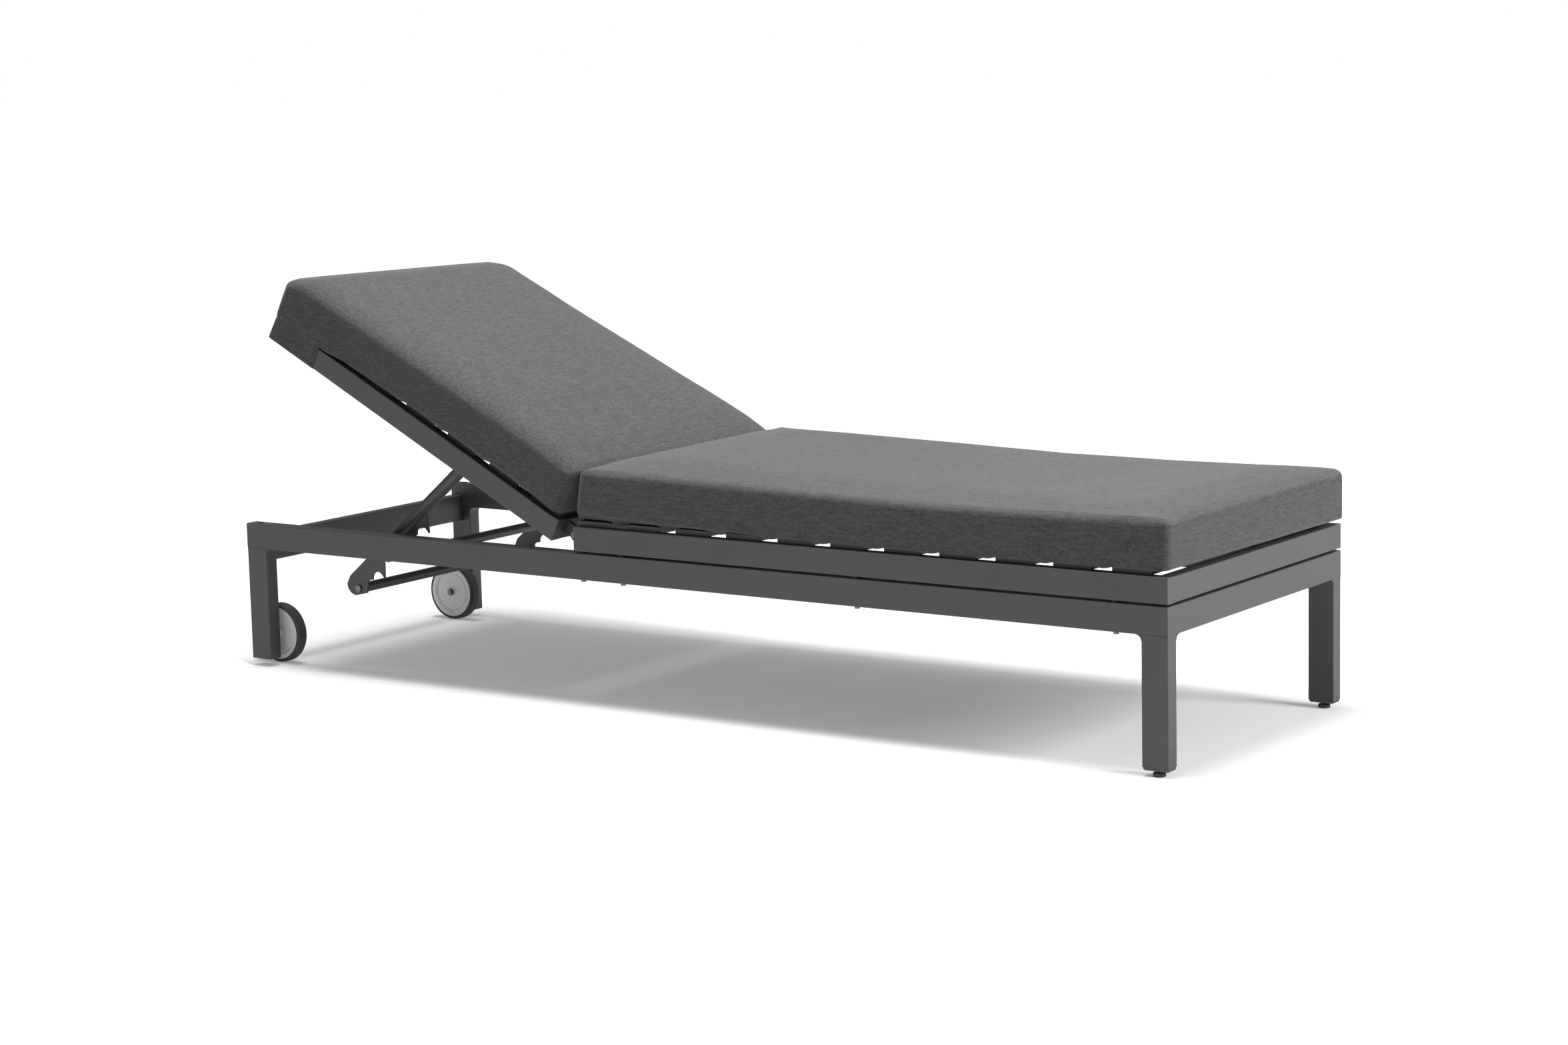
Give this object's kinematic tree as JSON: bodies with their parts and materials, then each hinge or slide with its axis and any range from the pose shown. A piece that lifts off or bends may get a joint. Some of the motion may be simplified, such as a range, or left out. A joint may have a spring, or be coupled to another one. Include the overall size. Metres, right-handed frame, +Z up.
{
  "type": "sun lounger",
  "caption": "Slatted aluminium chaise with a ratchet backrest, two wheels at the head end and loose charcoal seat and back cushions",
  "frame": {"origin": "on the floor under the middle of the bounding box, with the backrest raised as in the picture", "axes": "X runs from the head end to the foot end, Y to the left of a person lying on it, Z up"},
  "size_m": [2.115, 0.66, 0.7701],
  "materials": {
    "frame_coat": "charcoal powder coat with a fine satin texture",
    "cushion_fabric": "heathered charcoal woven outdoor fabric",
    "cushion_foam": "pale open-cell foam",
    "cap_plastic": "matt dark grey moulded plastic",
    "bolt_steel": "dull dark zinc",
    "wheel_plastic": "light grey moulded plastic",
    "wheel_tread": "dark grey soft rubber"
  },
  "bodies": {
    "root": {"base_side_rail_right": "frame_coat", "base_side_rail_left": "frame_coat", "base_foot_rail": "frame_coat", "base_head_rail": "frame_coat", "foot_leg_right": "frame_coat", "foot_leg_left": "frame_coat", "head_leg_right": "frame_coat", "head_leg_left": "frame_coat", "corner_welds": "frame_coat", "leg_end_caps": "cap_plastic", "foot_glides": "cap_plastic", "catch_bar": "frame_coat", "seat_side_rail_right": "frame_coat", "seat_side_rail_left": "frame_coat", "seat_head_rail": "frame_coat", "seat_foot_rail": "frame_coat", "seat_rail_end_caps": "cap_plastic", "seat_frame_spacers": "cap_plastic", "seat_frame_bolts": "bolt_steel", "seat_slat_01": "frame_coat", "seat_slat_02": "frame_coat", "seat_slat_03": "frame_coat", "seat_slat_04": "frame_coat", "seat_slat_05": "frame_coat", "seat_slat_06": "frame_coat", "seat_slat_07": "frame_coat", "seat_slat_08": "frame_coat", "seat_slat_09": "frame_coat", "seat_slat_10": "frame_coat", "seat_slat_11": "frame_coat", "hinge_brackets": "frame_coat", "hinge_bolts": "bolt_steel", "wheel_axle_bolts": "bolt_steel", "wheel_spacers": "cap_plastic", "wheel_washers": "bolt_steel", "head_bumpers": "cap_plastic", "seat_cushion_cover": "cushion_fabric", "seat_cushion_foam": "cushion_foam"},
    "backrest": {"back_side_rail_right": "frame_coat", "back_side_rail_left": "frame_coat", "back_top_rail": "frame_coat", "back_lower_rail": "frame_coat", "back_slats": "frame_coat", "back_hinge_lugs": "frame_coat", "prop_pivot_brackets": "frame_coat", "prop_pivot_bolts": "bolt_steel", "back_cushion_cover": "cushion_fabric", "back_cushion_foam": "cushion_foam", "back_cushion_hood": "cushion_fabric"},
    "prop": {"prop_tube_right": "frame_coat", "prop_tube_left": "frame_coat", "rack_plate_right": "frame_coat", "rack_plate_left": "frame_coat", "prop_cross_bar": "frame_coat", "prop_cross_bar_bolts": "bolt_steel"},
    "wheel_right": {"wheel_tyre_right": "wheel_tread", "wheel_hub_right": "wheel_plastic"},
    "wheel_left": {"wheel_tyre_left": "wheel_tread", "wheel_hub_left": "wheel_plastic"}
  },
  "joints": [
    {"name": "backrest_hinge", "type": "hinge", "parent": "root", "child": "backrest", "pos_m": [-0.2065, 0, 0.318], "axis": [0, 1, 0], "range_deg": [-27.2, 13.8]},
    {"name": "prop_pivot", "type": "hinge", "parent": "backrest", "child": "prop", "pos_m": [-0.48498, 0, 0.44032], "axis": [0, 1, 0], "range_deg": [-28.2, 55.5]},
    {"name": "wheel_right_spin", "type": "hinge", "parent": "root", "child": "wheel_right", "pos_m": [-0.9975, -0.27, 0.06], "axis": [0, 1, 0], "continuous": true},
    {"name": "wheel_left_spin", "type": "hinge", "parent": "root", "child": "wheel_left", "pos_m": [-0.9975, 0.27, 0.06], "axis": [0, 1, 0], "continuous": true}
  ],
  "couplings": [
    {"joint": "prop_pivot", "follows": "backrest_hinge", "ratio": -2.04}
  ]
}
